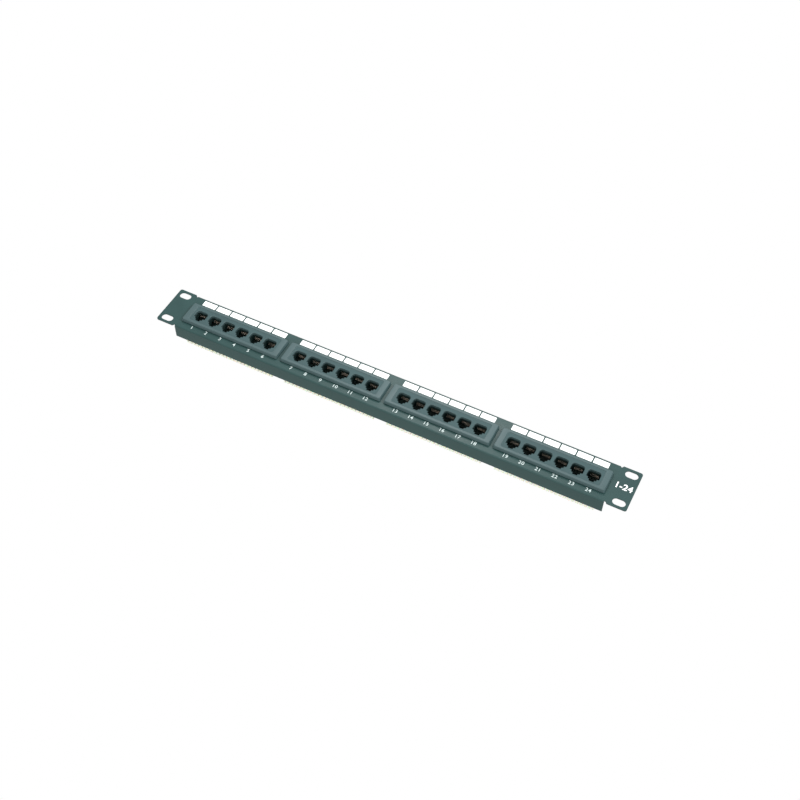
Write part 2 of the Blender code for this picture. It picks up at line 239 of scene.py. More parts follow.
class PanelSizes(bpy.types.PropertyGroup):
    """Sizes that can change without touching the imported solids."""

    edge_round: length_setting("Edge round", "Round on the edges of the coated steel", 0.25 * MM)
    rim_round: length_setting("Rim round", "Round on the outer edge of a bezel's rim", 0.6 * MM)
    recess_round: length_setting("Recess round", "Rounds at the edge of the recess", 0.35 * MM)
    mouth_chamfer: length_setting("Mouth chamfer", "Chamfer round each socket's mouth", 0.3 * MM)
    ink: length_setting("Ink", "Height of the screen print above the coat", 0.05 * MM)
    box_pitch: length_setting("Box pitch", "Distance between two write-on boxes", 15.8 * MM)
    box_gap: length_setting("Box gap", "Bare coat between two write-on boxes", 1.4 * MM)
    box_low: length_setting("Box bottom", "Height of the write-on boxes' lower edge", 13.1 * MM)
    box_high: length_setting("Box top", "Height of the write-on boxes' upper edge", 19.15 * MM)
    digit_height: length_setting("Digit height", "Height of the port numbers", 3.8 * MM)
    digit_low: length_setting("Digit line", "Height of the port numbers' base line", -17.9 * MM)
    mark_height: length_setting("Mark height", "Height of the range mark on the ear", 6.4 * MM)
    mark_x: length_setting("Mark place", "Middle of the range mark along the panel", 230.6 * MM)
    mark_low: length_setting("Mark line", "Height of the range mark's base line", -2.0 * MM)


class PanelColours(bpy.types.PropertyGroup):
    """Base colours of the panel's materials, and the text of its mark."""

    coat: colour_setting("Powder coat", "Steel front", "243f3e")
    bezel: colour_setting("Bezel", "Moulded frames round the sockets", "3d5153")
    # The recess colour is darker than the bezel's as painted shade on each recess floor.
    recess: colour_setting("Recess", "Floor of each frame's recess", "374c4e")
    housing: colour_setting("Housing", "Moulded jack blocks", "192c2b")
    # The pale gold and the dark nickel are partly the contacts' plating and partly a painted
    # highlight band and painted shade inside the sockets.
    gold: colour_setting("Gold", "Plated stretch of the spring contacts", "f2e0cf")
    nickel: colour_setting("Nickel", "Rest of the contact wires", "54584f")
    mask: colour_setting("Solder mask", "Circuit boards", "1d4a2c")
    ivory: colour_setting("Punch-down block", "Moulded blocks behind the panel", "dde0cf")
    tin: colour_setting("Tin", "Solder joints and blades", "c9cbc9")
    zinc: colour_setting("Zinc", "Screws", "c3c7ca")
    ink: colour_setting("Ink", "Write-on boxes", "f4f6f5")
    thin_ink: colour_setting("Thin ink", "Port numbers", "c9d6d5")
    floor: colour_setting("Floor", "Studio floor", "eeeeec")
    mark: StringProperty(name="Mark", description="Ports, printed on the right ear", default="1-24")


# ------------------------------------------------------------------ mesh helpers


def rounded(corners, steps=6):
    """A closed outline from corners (x, z, radius), each turned into an arc in so many steps."""
    outline = []
    for i, (x, z, radius) in enumerate(corners):
        here = Vector((x, z))
        if radius <= 0.0:
            outline.append((x, z))
            continue
        before = (Vector(corners[i - 1][:2]) - here).normalized()
        after = (Vector(corners[(i + 1) % len(corners)][:2]) - here).normalized()
        half = before.angle(after) / 2
        reach = radius / math.tan(half)
        middle = here + (before + after).normalized() * radius / math.sin(half)
        start, end = here + before * reach - middle, here + after * reach - middle
        turn = math.pi - 2 * half
        for k in range(steps + 1):
            share = k / steps
            point = start * math.sin((1 - share) * turn) + end * math.sin(share * turn)
            outline.append(tuple(middle + point / math.sin(turn)))
    return outline


def box(x0, x1, z0, z1, radius=0.0, steps=6):
    """Outline of a rectangle, anticlockwise from its upper right corner."""
    return rounded([(x1, z1, radius), (x0, z1, radius), (x0, z0, radius), (x1, z0, radius)], steps)


def circle(cx, cz, radius, steps=28):
    """Outline of a circle, anticlockwise."""
    angles = [2 * math.pi * i / steps for i in range(steps)]
    return [(cx + radius * math.cos(a), cz + radius * math.sin(a)) for a in angles]


def ring(bm, outline, y):
    """Vertices of an outline of (x, z) points at depth y."""
    return [bm.verts.new((x, y, z)) for x, z in outline]


def bridge(bm, near, far):
    """A closed band of quads between two rings of the same length."""
    for i in range(len(near)):
        j = (i + 1) % len(near)
        bm.faces.new((near[i], near[j], far[j], far[i]))


def fill(bm, *rings):
    """A flat face inside the first ring and outside the others."""
    edges = []
    for points in rings:
        for pair in zip(points, points[1:] + points[:1]):
            edges.append(bm.edges.get(pair) or bm.edges.new(pair))
    bmesh.ops.triangle_fill(bm, edges=edges, use_beauty=True)


def loft(bm, rings):
    """A closed body through rings of the same length, with flat ends."""
    for near, far in zip(rings, rings[1:]):
        bridge(bm, near, far)
    bm.faces.new(rings[0])
    bm.faces.new(rings[-1])


def block(bm, low, high, outline=None):
    """A box between two corners, or any outline between their depths."""
    outline = outline or box(low[0], high[0], low[2], high[2])
    loft(bm, [ring(bm, outline, low[1]), ring(bm, outline, high[1])])


def smooth_mesh(bm, name, material):
    """A smoothly shaded mesh from bm, which is freed."""
    mesh = bpy.data.meshes.new(name)
    bm.to_mesh(mesh)
    bm.free()
    mesh.materials.append(material)
    mesh.shade_smooth()
    return mesh


def finish_mesh(bm, name, material, smooth_angle=35.0):
    """A mesh from bm with its faces pointing out, shaded smooth up to an angle."""
    bmesh.ops.recalc_face_normals(bm, faces=bm.faces)
    mesh = smooth_mesh(bm, name, material)
    mesh.set_sharp_from_angle(angle=math.radians(smooth_angle))
    return mesh


def add_piece(name, mesh, location=(0.0, 0.0, 0.0), body=PANEL, stands_for=None):
    """Puts a mesh in the scene as a piece that rides on a body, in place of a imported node."""
    piece = bpy.data.objects.new(name, mesh)
    piece.location = location
    bpy.context.scene.collection.objects.link(piece)
    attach(piece, body)
    if stands_for:
        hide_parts(stands_for)
    return piece


def round_edges(piece, width, segments=2, limit=50.0):
    """Rounds the edges that are sharper than the limit and keeps the faces beside them flat."""
    bevel = piece.modifiers.new("edge_round", "BEVEL")
    bevel.width = width
    bevel.segments = segments
    bevel.angle_limit = math.radians(limit)
    bevel.harden_normals = True


# ------------------------------------------------------------------ materials

# A Mix node set to colours has its two colours at inputs 6 and 7, and its result at output 2.
MIX_FIRST, MIX_SECOND, MIX_RESULT = 6, 7, 2

SOCKETS = {
    "metallic": "Metallic",
    "roughness": "Roughness",
    "ior": "IOR",
    "subsurface": "Subsurface Weight",
    "subsurface_scale": "Subsurface Scale",
}


def add_node(tree, kind, inputs=None, **settings):
    """Adds a node, makes its settings, and sets each named input or links it to a socket."""
    node = tree.nodes.new(kind)
    for name, value in settings.items():
        setattr(node, name, value)
    for name, value in (inputs or {}).items():
        if isinstance(value, bpy.types.NodeSocket):
            tree.links.new(value, node.inputs[name])
        else:
            node.inputs[name].default_value = value
    return node


def start_material(name, **values):
    """A new material and its shader, with the values that are the same all over it."""
    material = bpy.data.materials.new(name)
    material.use_nodes = True
    shader = material.node_tree.nodes["Principled BSDF"]
    for key, value in values.items():
        shader.inputs[SOCKETS[key]].default_value = value
    return material, material.node_tree, shader


def noise(tree, size, detail=2.0):
    """Noise with features of a given size in metres, fixed to the piece."""
    place = add_node(tree, "ShaderNodeTexCoord").outputs["Object"]
    inputs = {"Vector": place, "Scale": 1.0 / size, "Detail": detail}
    return add_node(tree, "ShaderNodeTexNoise", inputs).outputs["Fac"]


def between(tree, pattern, low, high):
    """Values from low to high over the middle of a pattern's range."""
    inputs = {"Value": pattern, "From Min": 0.35, "From Max": 0.65, "To Min": low, "To Max": high}
    return add_node(tree, "ShaderNodeMapRange", inputs).outputs["Result"]


def shade(tree, shader, factor, colour, low, high):
    """Colours a surface from low to high times a colour, as a factor goes from 0 to 1."""
    dark, light = ([c * share for c in colour[:3]] + [1.0] for share in (low, high))
    inputs = {"Factor": factor, MIX_FIRST: dark, MIX_SECOND: light}
    mix = add_node(tree, "ShaderNodeMix", inputs, data_type="RGBA")
    tree.links.new(mix.outputs[MIX_RESULT], shader.inputs["Base Color"])


def two_tone(tree, shader, pattern, colour, amount):
    """Colours a surface a little darker and a little lighter than its colour over a pattern."""
    factor = between(tree, pattern, 0.0, 1.0)
    shade(tree, shader, factor, colour, 1 - amount, 1 + amount)


def raise_surface(tree, shader, height, distance):
    """Bumps a surface by a height pattern whose full range is a distance in metres."""
    bump = add_node(tree, "ShaderNodeBump", {"Height": height, "Distance": distance})
    tree.links.new(bump.outputs["Normal"], shader.inputs["Normal"])


def set_roughness(tree, shader, pattern, low, high):
    """Roughness from low to high over a pattern."""
    tree.links.new(between(tree, pattern, low, high), shader.inputs["Roughness"])


def satin_powder_coat(colours):
    """Polyester powder baked on steel: a satin skin with a faint orange peel 1.2 mm across."""
    material, tree, shader = start_material("satin_powder_coat", ior=1.34)
    # The film varies in thickness over a few centimetres, which gives broad, faint clouds.
    clouds = noise(tree, 22 * MM, 3.0)
    two_tone(tree, shader, clouds, colours.coat, 0.06)
    set_roughness(tree, shader, clouds, 0.38, 0.46)
    raise_surface(tree, shader, noise(tree, 1.2 * MM), 0.02 * MM)
    return material


def moulded_abs(colours):
    """ABS moulded in a spark-eroded tool: an even matt grain of 0.6 mm."""
    material, tree, shader = start_material("moulded_abs", ior=1.37)
    clouds = noise(tree, 15 * MM, 3.0)
    two_tone(tree, shader, clouds, colours.bezel, 0.05)
    set_roughness(tree, shader, clouds, 0.42, 0.5)
    raise_surface(tree, shader, noise(tree, 0.6 * MM, 3.0), 0.02 * MM)
    return material


def grained_abs(colours):
    """The same ABS where the tool was eroded deeper: a 0.9 mm grain that takes the sheen off, and a
    darker colour that is painted shade on each recess floor.
    """
    material, tree, shader = start_material("grained_abs", ior=1.3)
    clouds = noise(tree, 15 * MM, 3.0)
    two_tone(tree, shader, clouds, colours.recess, 0.07)
    set_roughness(tree, shader, clouds, 0.55, 0.65)
    raise_surface(tree, shader, noise(tree, 0.9 * MM, 3.0), 0.04 * MM)
    return material


def moulded_polycarbonate(colours):
    """Near-black polycarbonate: half gloss, so that the cavities stay dark."""
    material, tree, shader = start_material("moulded_polycarbonate", ior=1.4)
    flow = noise(tree, 4 * MM)
    two_tone(tree, shader, flow, colours.housing, 0.15)
    set_roughness(tree, shader, flow, 0.45, 0.6)
    raise_surface(tree, shader, noise(tree, 0.5 * MM), 0.008 * MM)
    return material


def dull_nickel(colours):
    """Sulphamate nickel over bronze, left bare past the gold: grey, even and half dull, and dark as
    painted shade on the wires inside each socket.
    """
    material, tree, shader = start_material("dull_nickel", metallic=1.0)
    plate = noise(tree, 1.5 * MM)
    two_tone(tree, shader, plate, colours.nickel, 0.1)
    set_roughness(tree, shader, plate, 0.42, 0.55)
    raise_surface(tree, shader, noise(tree, 0.25 * MM), 0.002 * MM)
    return material


def gold_plated_bronze(colours):
    """Drawn bronze wire with a thin gold plate: soft gloss, a little uneven along the wire, and
    pale as a painted highlight line across the wires.
    """
    material, tree, shader = start_material("gold_plated_bronze", metallic=1.0)
    plate = noise(tree, 1.5 * MM)
    two_tone(tree, shader, plate, colours.gold, 0.12)
    set_roughness(tree, shader, plate, 0.3, 0.45)
    raise_surface(tree, shader, noise(tree, 0.25 * MM), 0.002 * MM)
    return material


def solder_mask_laminate(colours):
    """Glass-epoxy board under green mask: glossy, with tracks 0.5 mm wide standing up in it."""
    material, tree, shader = start_material("solder_mask_laminate", roughness=0.32, ior=1.5)
    place = add_node(tree, "ShaderNodeTexCoord").outputs["Object"]
    inputs = {"Vector": place, "Scale": 0.5 / (1.27 * MM), "Distortion": 1.2, "Detail": 0.0}
    tracks = add_node(tree, "ShaderNodeTexWave", inputs, bands_direction="DIAGONAL").outputs["Fac"]
    step = {"Value": tracks, "From Min": 0.45, "From Max": 0.55}
    raised = add_node(tree, "ShaderNodeMapRange", step).outputs["Result"]
    shade(tree, shader, raised, colours.mask, 0.75, 1.5)
    raise_surface(tree, shader, raised, 0.035 * MM)
    return material


def ivory_polycarbonate(colours):
    """Unpainted ivory polycarbonate: light goes a little way in, and the edges glow softly."""
    material, tree, shader = start_material(
        "ivory_polycarbonate", ior=1.5, subsurface=0.25, subsurface_scale=0.6 * MM
    )
    flow = noise(tree, 6 * MM)
    two_tone(tree, shader, flow, colours.ivory, 0.03)
    set_roughness(tree, shader, flow, 0.36, 0.46)
    raise_surface(tree, shader, noise(tree, 0.5 * MM), 0.008 * MM)
    return material


def bright_tin(colours):
    """Reflowed tin: bright, with a fine frost where it froze."""
    material, tree, shader = start_material("bright_tin", metallic=1.0)
    frost = noise(tree, 0.8 * MM, 3.0)
    two_tone(tree, shader, frost, colours.tin, 0.08)
    set_roughness(tree, shader, frost, 0.22, 0.4)
    raise_surface(tree, shader, frost, 0.01 * MM)
    return material


def bright_zinc(colours):
    """Barrel-plated zinc on steel: bright, with dull rubbed patches about 1 mm across."""
    material, tree, shader = start_material("bright_zinc", metallic=1.0)
    rubbed = noise(tree, 1.0 * MM, 3.0)
    two_tone(tree, shader, rubbed, colours.zinc, 0.1)
    set_roughness(tree, shader, rubbed, 0.22, 0.42)
    raise_surface(tree, shader, noise(tree, 0.3 * MM), 0.004 * MM)
    return material


def printed_ink(name, colour):
    """White two-part ink pressed through a mesh: matt, with the mesh's 0.3 mm dots left in it."""
    material, tree, shader = start_material(name, ior=1.45)
    clouds = noise(tree, 5 * MM)
    two_tone(tree, shader, clouds, colour, 0.02)
    set_roughness(tree, shader, clouds, 0.5, 0.6)
    raise_surface(tree, shader, noise(tree, 0.3 * MM), 0.006 * MM)
    return material


def screen_ink(colours):
    """White ink laid on thick enough to write on."""
    return printed_ink("screen_ink", colours.ink)


def thin_screen_ink(colours):
    """White ink in fine strokes, which the coat shows through a little."""
    return printed_ink("thin_screen_ink", colours.thin_ink)


def studio_paper(colours):
    """Rolled backdrop paper: flat and pale, with a faint fibre cloud."""
    material, tree, shader = start_material("studio_paper", roughness=0.9, ior=1.3)
    two_tone(tree, shader, noise(tree, 60 * MM), colours.floor, 0.01)
    return material


def use_material(build):
    """The material that a builder makes, made once."""
    return bpy.data.materials.get(build.__name__) or build(bpy.context.scene.panel_colours)


# ------------------------------------------------------------------ steel front


def blank_corners():
    """Corners of the flat sheet, anticlockwise from the lower fold's right end."""
    inner, outer, high = BODY_W / 2, STEEL_HIGH.x, STEEL_HIGH.z
    fold_z = BODY_H / 2 - BEND_R
    lower = [(inner, -fold_z, 0.0), (inner + NOTCH_W / 2, -fold_z, NOTCH_R)]
    lower += [(inner + NOTCH_W, -high, NOTCH_R), (outer, -high, EAR_CORNER_R)]
    right = lower + [(x, -z, radius) for x, z, radius in reversed(lower)]
    return right + [(-x, z, radius) for x, z, radius in reversed(right)]


def rack_slot(cx, cz):
    """A slot with round ends, whose arcs stop just short of each other."""
    reach = RACK_SLOT_W / 2
    radius = RACK_SLOT_H / 2
    return box(cx - reach, cx + reach, cz - radius, cz + radius, radius * SLOT_END_SHARE, 16)


def screw_places():
    """Places of a module's two screws about the module's centre."""
    x = (SCREW_LOW.x + SCREW_HIGH.x) / 2 - MODULE_X[0]
    z = (SCREW_LOW.z + SCREW_HIGH.z) / 2
    return [(x, z), (-x, z)]


def steel_mesh(material):
    """The sheet's front surface: a flat blank with its holes, and a bend and flange each way."""
    bm = bmesh.new()
    blank = ring(bm, rounded(blank_corners(), 8), FACE_Y)
    sides, rows = (-RACK_SLOT_X, RACK_SLOT_X), (-RACK_SLOT_Z, RACK_SLOT_Z)
    holes = [rack_slot(x, z) for x in sides for z in rows]
    side = HOUSING_HALF_W + WINDOW_CLEARANCE
    low, high = HOUSING_LOW.z - WINDOW_CLEARANCE, HOUSING_HIGH.z + WINDOW_CLEARANCE
    for cx in MODULE_X:
        holes.append(box(cx - side, cx + side, low, high, WINDOW_R))
        holes += [circle(cx + x, z, SCREW_HOLE_R) for x, z in screw_places()]
    fill(bm, blank, *[ring(bm, outline, FACE_Y) for outline in holes])
    # The two folds start at the blank's only open edges that are as long as the body.
    open_edges = [edge for edge in bm.edges if len(edge.link_faces) == 1]
    for fold in [edge for edge in open_edges if edge.calc_length() > 0.9 * BODY_W]:
        near = list(fold.verts)
        up = math.copysign(1.0, near[0].co.z)
        centre = BODY_H / 2 - BEND_R
        turns = [math.pi / 2 * (i + 1) / BEND_STEPS for i in range(BEND_STEPS)]
        path = [(FACE_Y + BEND_R * (1 - math.cos(a)), centre + BEND_R * math.sin(a)) for a in turns]
        path.append((STEEL_HIGH.y, BODY_H / 2))
        for y, z in path:
            far = [bm.verts.new((v.co.x, y, up * z)) for v in near]
            bm.faces.new((near[0], near[1], far[1], far[0]))
            near = far
    bmesh.ops.recalc_face_normals(bm, faces=bm.faces)
    bm.faces.ensure_lookup_table()
    if max(bm.faces, key=lambda face: abs(face.normal.y)).normal.y > 0:
        bmesh.ops.reverse_faces(bm, faces=bm.faces)
    return smooth_mesh(bm, "steel_front", material)


class MakeSteelFront(bpy.types.Operator):
    """Makes the folded and coated steel front with its ears"""

    bl_idname = "patch_panel.steel_front"
    bl_label = "Steel front"

    def execute(self, context):
        mesh = steel_mesh(use_material(satin_powder_coat))
        piece = add_piece("steel_front", mesh, stands_for="front_panel")
        solid = piece.modifiers.new("sheet_thickness", "SOLIDIFY")
        solid.thickness = STEEL
        solid.offset = -1.0
        solid.use_even_offset = True
        round_edges(piece, context.scene.panel_sizes.edge_round)
        return {"FINISHED"}


# ------------------------------------------------------------------ bezels


def mouth(cx, top_r, grow=0.0):
    """Outline of a socket's mouth with round top corners, grown outwards by a distance."""
    half, step, key = MOUTH_HALF_W + grow, LEDGE_HALF_W + grow, KEYWAY_HALF_W + grow
    shoulder, ledge, bottom = MOUTH_SHOULDER - grow, MOUTH_LEDGE - grow, MOUTH_BOTTOM - grow
    left = [(-half, MOUTH_TOP + grow, top_r)]
    left += [(-half, shoulder, MOUTH_R), (-step, shoulder, MOUTH_R)]
    left += [(-step, ledge, MOUTH_R), (-key, ledge, MOUTH_R), (-key, bottom, MOUTH_R)]
    right = [(-x, z, radius) for x, z, radius in reversed(left)]
    return [(cx + x, z) for x, z in rounded(left + right, 4)]


def bezel_mesh(sizes, material, recess_grain_and_shade_material):
    """Drafted frame with a rounded rim, a recess, six chamfered mouths and two blind holes."""
    back, front = BEZEL_HIGH.y, BEZEL_LOW.y
    floor = front + RECESS
    half_w = (BEZEL_HIGH.x - BEZEL_LOW.x) / 2
    rim = BEZEL_DRAFT + RIM_TOP
    gap = back - SHADOW_GAP
    outer = [(SHADOW_GAP_DEPTH, back, 0.0), (SHADOW_GAP_DEPTH, gap, 0.0), (0.0, gap, 0.0)]
    outer += [(BEZEL_DRAFT, front, sizes.rim_round), (rim, front, 0.0)]
    inner = [(0.0, front, 0.0), (rim, front, sizes.recess_round)]
    inner += [(rim + RECESS_DRAFT, floor, sizes.recess_round), (2 * rim, floor, 0.0)]
    section = [(d, d, y) for d, y in rounded(outer, 5)[:-1]]
    section += [(d + RIM_SIDE - RIM_TOP, d, y) for d, y in rounded(inner, 4)[1:-1]]
    bm = bmesh.new()
    rings = []
    for dx, dz, y in section:
        outline = box(dx - half_w, half_w - dx, BEZEL_LOW.z + dz, BEZEL_HIGH.z - dz, BEZEL_R)
        rings.append(ring(bm, outline, y))
    for near, far in zip(rings, rings[1:]):
        bridge(bm, near, far)
    fronts, backs = [], []
    chamfer = sizes.mouth_chamfer
    for x in PORT_X:
        places = [(chamfer, floor), (0.0, floor + chamfer), (0.0, back)]
        steps = [ring(bm, mouth(x, MOUTH_TOP_R, grow), y) for grow, y in places]
        bridge(bm, steps[0], steps[1])
        bridge(bm, steps[1], steps[2])
        fronts.append(steps[0])
        backs.append(steps[2])
    hole_end = SCREW_LOW.y - (SCREW_HOLE_R - SCREW_R)
    for x, z in screw_places():
        hole = [ring(bm, circle(x, z, SCREW_HOLE_R), y) for y in (back, hole_end)]
        bridge(bm, *hole)
        bm.faces.new(hole[1])
        backs.append(hole[0])
    fill(bm, rings[-1], *fronts)
    # Faces on the recess floor take the second material, whose darker colour paints shade there.
    for face in bm.faces:
        face.material_index = int(all(abs(vert.co.y - floor) < SUNK for vert in face.verts))
    fill(bm, rings[0], *backs)
    mesh = finish_mesh(bm, "bezel", material)
    mesh.materials.append(recess_grain_and_shade_material)
    return mesh


class MakeBezels(bpy.types.Operator):
    """Makes the raised frame round each module's six sockets"""

    bl_idname = "patch_panel.bezels"
    bl_label = "Bezels"

    def execute(self, context):
        materials = use_material(moulded_abs), use_material(grained_abs)
        mesh = bezel_mesh(context.scene.panel_sizes, *materials)
        for n, x in enumerate(MODULE_X, 1):
            node = f"module_{n}_bezel"
            add_piece(f"bezel_{n}", mesh, (x, 0.0, 0.0), stands_for=node)
        return {"FINISHED"}


# ------------------------------------------------------------------ jack housings


def add_cavity(bm, cx):
    """A socket's inside: the plug's channel, and above it a pocket for the contacts."""
    grow = CAVITY_CLEARANCE
    outline = mouth(cx, SOCKET_TOP_R, grow)
    top = MOUTH_TOP + grow
    highest = [i for i, (_, z) in enumerate(outline) if z > top - SUNK]
    right, left = (f(highest, key=lambda i: outline[i][0]) for f in (max, min))
    corners = [(cx + CEILING_HALF_W, top), (cx - CEILING_HALF_W, top)]
    if (right + 1) % len(outline) != left:
        raise RuntimeError("the socket's top edge isn't where the pocket needs it")
    # Turned to start at the top edge's left end, with the pocket's two corners after its right end.
    outline = outline[right + 1 :] + outline[: right + 1] + corners
    near, middle = ring(bm, outline, HOUSING_LOW.y), ring(bm, outline, CEILING_FRONT)
    bridge(bm, near, middle)
    raised = [bm.verts.new((x, CEILING_FRONT, CEILING_Z)) for x, _ in corners]
    bm.faces.new((middle[-2], raised[0], raised[1], middle[-1]))
    full = middle[:-1] + raised + middle[-1:]
    far = [bm.verts.new((v.co.x, CAVITY_BACK, v.co.z)) for v in full]
    bridge(bm, full, far)
    fill(bm, far)
    for i in range(WIRES + 1):
        x = cx + (i - WIRES / 2) * WIRE_PITCH
        low = (x - GUIDE_W / 2, GUIDE_FRONT, GUIDE_LOW)
        block(bm, low, (x + GUIDE_W / 2, CAVITY_BACK + SUNK, CEILING_Z + SUNK))
    return near


def housing_mesh(material):
    """Block of six sockets, with a screw lug at each end behind the steel."""
    bm = bmesh.new()
    half, reach = HOUSING_HALF_W, (HOUSING_HIGH.x - HOUSING_LOW.x) / 2
    low, high, back = HOUSING_LOW.z, HOUSING_HIGH.z, HOUSING_HIGH.y
    outline = [(half, high), (-half, high), (-half, LUG_HIGH), (-half, LUG_LOW)]
    outline += [(-x, -z + low + high) for x, z in outline[:2]] + [(half, LUG_LOW), (half, LUG_HIGH)]
    near, middle = ring(bm, outline, HOUSING_LOW.y), ring(bm, outline, LUG_FRONT)
    bridge(bm, near, middle)
    # The lugs stand out between corners 2 and 3 on the left, and 6 and 7 on the right.
    left = ring(bm, [(-reach, LUG_HIGH), (-reach, LUG_LOW)], LUG_FRONT)
    right = ring(bm, [(reach, LUG_LOW), (reach, LUG_HIGH)], LUG_FRONT)
    full = middle[:3] + left + middle[3:7] + right + middle[7:]
    far = [bm.verts.new((v.co.x, back, v.co.z)) for v in full]
    bridge(bm, full, far)
    lug_faces = [middle[2:3] + left + middle[3:4], middle[6:7] + right + middle[7:8]]
    ends = []
    for face, (x, z) in zip(lug_faces, screw_places()):
        hole = [ring(bm, circle(x, z, SCREW_HOLE_R), y) for y in (LUG_FRONT, back)]
        bridge(bm, *hole)
        fill(bm, face, hole[0])
        ends.append(hole[1])
    fill(bm, far, *ends)
    fill(bm, near, *[add_cavity(bm, x) for x in PORT_X])
    return finish_mesh(bm, "jack_housing", material)


class MakeJackHousings(bpy.types.Operator):
    """Makes each module's block of six sockets, with the guides for their contacts"""

    bl_idname = "patch_panel.jack_housings"
    bl_label = "Jack housings"

    def execute(self, context):
        mesh = housing_mesh(use_material(moulded_polycarbonate))
        for n, x in enumerate(MODULE_X, 1):
            node = f"module_{n}_jack_housing"
            add_piece(f"jack_housing_{n}", mesh, (x, 0.0, 0.0), stands_for=node)
        return {"FINISHED"}


# ------------------------------------------------------------------ contacts


def add_wire(bm, x, path, radius=WIRE_R):
    """A round wire at one place along X, through points (y, z)."""
    rings = []
    for i, (y, z) in enumerate(path):
        before, after = path[max(i - 1, 0)], path[min(i + 1, len(path) - 1)]
        along = Vector((0.0, after[0] - before[0], after[1] - before[1])).normalized()
        across = Vector((0.0, -along.z, along.y))
        turns = [2 * math.pi * k / WIRE_SIDES for k in range(WIRE_SIDES)]
        offsets = [(Vector((math.cos(a), 0.0, 0.0)) + across * math.sin(a)) * radius for a in turns]
        rings.append([bm.verts.new(Vector((x, y, z)) + offset) for offset in offsets])
    loft(bm, rings)


def wire_places():
    """Places of a port's wires along X, about the port's own centre."""
    return [(i - (WIRES - 1) / 2) * WIRE_PITCH for i in range(WIRES)]


def contact_mesh(gold, nickel):
    """Eight wires that turn round the hinge line and slant down, gold where a plug touches; the
    pale gold band is partly a painted highlight, and the dark nickel past it is partly painted
    shade.
    """
    # Each wire leaves its hook where the straight line to its tip just touches the circle.
    reach = TIP.length
    leave = math.atan2(TIP.z, TIP.y) - math.acos(HOOK_R / reach) + 2 * math.pi
    turns = [HOOK_START + (leave - HOOK_START) * i / HOOK_STEPS for i in range(HOOK_STEPS + 1)]
    path = [(HOOK_R * math.cos(a), HOOK_R * math.sin(a)) for a in turns]
    path += [tuple(Vector(path[-1]).lerp((TIP.y, TIP.z), share)) for share in (*GOLD_HIGHLIGHT_BAND, 1.0)]
    bm = bmesh.new()
    for x in wire_places():
        add_wire(bm, x, path)
    # The band's faces take the pale gold, which is partly a painted highlight; the rest take the
    # dark nickel, which is partly painted shade.
    for face in bm.faces:
        centre = face.calc_center_median()
        share = math.hypot(centre.y, centre.z) / reach
        face.material_index = int(not GOLD_HIGHLIGHT_BAND[0] < share < GOLD_HIGHLIGHT_BAND[1])
    mesh = finish_mesh(bm, "spring_contacts", gold, 60.0)
    mesh.materials.append(nickel)
    return mesh


def leg_mesh(material):
    """The fixed legs of a module's contacts, along the roof of each socket into its back wall."""
    bm = bmesh.new()
    y, z = HINGES[0].y, HINGES[0].z + HOOK_R
    for port_x in PORT_X:
        for x in wire_places():
            add_wire(bm, port_x + x, [(y, z), (CAVITY_BACK + WIRE_R, z)])
    return finish_mesh(bm, "contact_legs", material, 60.0)


class MakeContacts(bpy.types.Operator):
    """Makes the eight spring contacts of each port and their fixed legs"""

    bl_idname = "patch_panel.contacts"
    bl_label = "Contacts"

    def execute(self, context):
        nickel = use_material(dull_nickel)
        mesh = contact_mesh(use_material(gold_plated_bronze), nickel)
        for joint, hinge in zip(frame["joints"], HINGES):
            port = joint["child"]
            name = f"spring_contacts_{port[-2:]}"
            add_piece(name, mesh, hinge, port, stands_for=f"{port}_contacts")
        legs = leg_mesh(nickel)
        for n, x in enumerate(MODULE_X, 1):
            add_piece(f"contact_legs_{n}", legs, (x, 0.0, 0.0))
        return {"FINISHED"}


# ------------------------------------------------------------------ circuit boards


def board_mesh(material):
    """Rounded board with a hole for each of its two screws."""
    bm = bmesh.new()
    half = (BOARD_HIGH.x - BOARD_LOW.x) / 2
    outline = box(-half, half, BOARD_LOW.z, BOARD_HIGH.z, BOARD_R)
    depths = (BOARD_LOW.y, BOARD_HIGH.y)
    sheet = [ring(bm, outline, y) for y in depths]
    holes = [[ring(bm, circle(x, z, SCREW_HOLE_R), y) for y in depths] for x, z in screw_places()]
    for near, far in (sheet, *holes):
        bridge(bm, near, far)
    for end in (0, 1):
        fill(bm, sheet[end], *[hole[end] for hole in holes])
    return finish_mesh(bm, "circuit_board", material)


def solder_mesh(material):
    """Soldered tails of a module's contacts, in two staggered rows behind the board."""
    bm = bmesh.new()
    for port_x in PORT_X:
        for i, x in enumerate(wire_places()):
            rings = []
            for radius, rise in SOLDER_RINGS:
                outline = circle(port_x + x, SOLDER_ROWS[i % 2], radius, SOLDER_SIDES)
                rings.append(ring(bm, outline, BOARD_HIGH.y + rise))
            loft(bm, rings)
    return finish_mesh(bm, "solder_joints", material, 50.0)


class MakeCircuitBoards(bpy.types.Operator):
    """Makes each module's circuit board and the solder joints behind it"""

    bl_idname = "patch_panel.circuit_boards"
    bl_label = "Circuit boards"

    def execute(self, context):
        board = board_mesh(use_material(solder_mask_laminate))
        solder = solder_mesh(use_material(bright_tin))
        for n, x in enumerate(MODULE_X, 1):
            node = f"module_{n}_circuit_board"
            add_piece(f"circuit_board_{n}", board, (x, 0.0, 0.0), stands_for=node)
            add_piece(f"solder_joints_{n}", solder, (x, 0.0, 0.0))
        return {"FINISHED"}


# ------------------------------------------------------------------ punch-down blocks


def slot_places():
    """Places of a block's wire slots along X, about the block's own centre."""
    return [(i + 0.5 - IDC_SLOTS / 2) * IDC_PITCH for i in range(IDC_SLOTS)]


